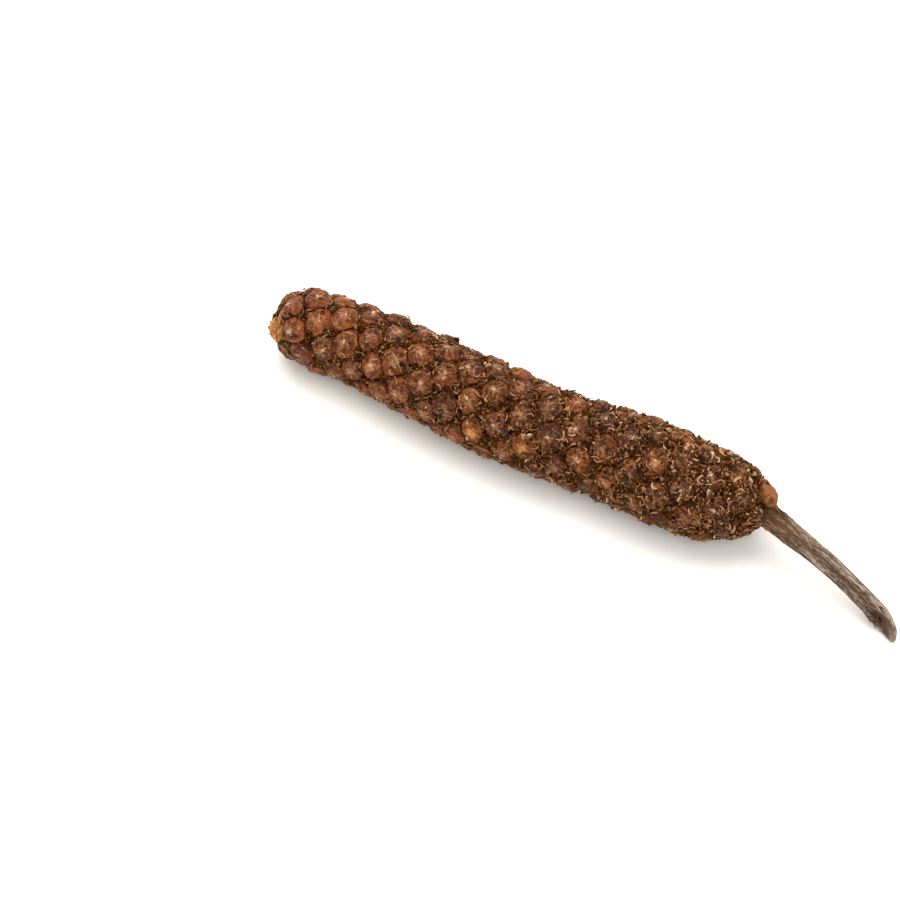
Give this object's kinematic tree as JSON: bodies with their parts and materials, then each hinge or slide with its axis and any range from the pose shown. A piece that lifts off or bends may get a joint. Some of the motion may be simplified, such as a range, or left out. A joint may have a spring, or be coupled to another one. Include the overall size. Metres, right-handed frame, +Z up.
{
  "type": "long pepper",
  "caption": "Dried long pepper: a slim, slightly swaying fruiting spike of close-set round berries in spiral rows, on a bent, ridged stalk snapped off aslant.",
  "frame": {"origin": "middle of the whole pepper on the surface that it lies on", "axes": "+X from the spike's tip towards the stalk, +Z up, and the stalk bends towards -Y"},
  "size_m": [0.0576, 0.0089, 0.0078],
  "materials": {
    "berry_skin": "dry, wrinkled, dull red-brown berry skin with dark pits and papery pale edges",
    "stalk_bark": "dry, matt grey-brown bark with lengthwise ridges"
  },
  "bodies": {
    "root": {"fruit_spike": "berry_skin", "stalk": "stalk_bark"}
  },
  "joints": []
}
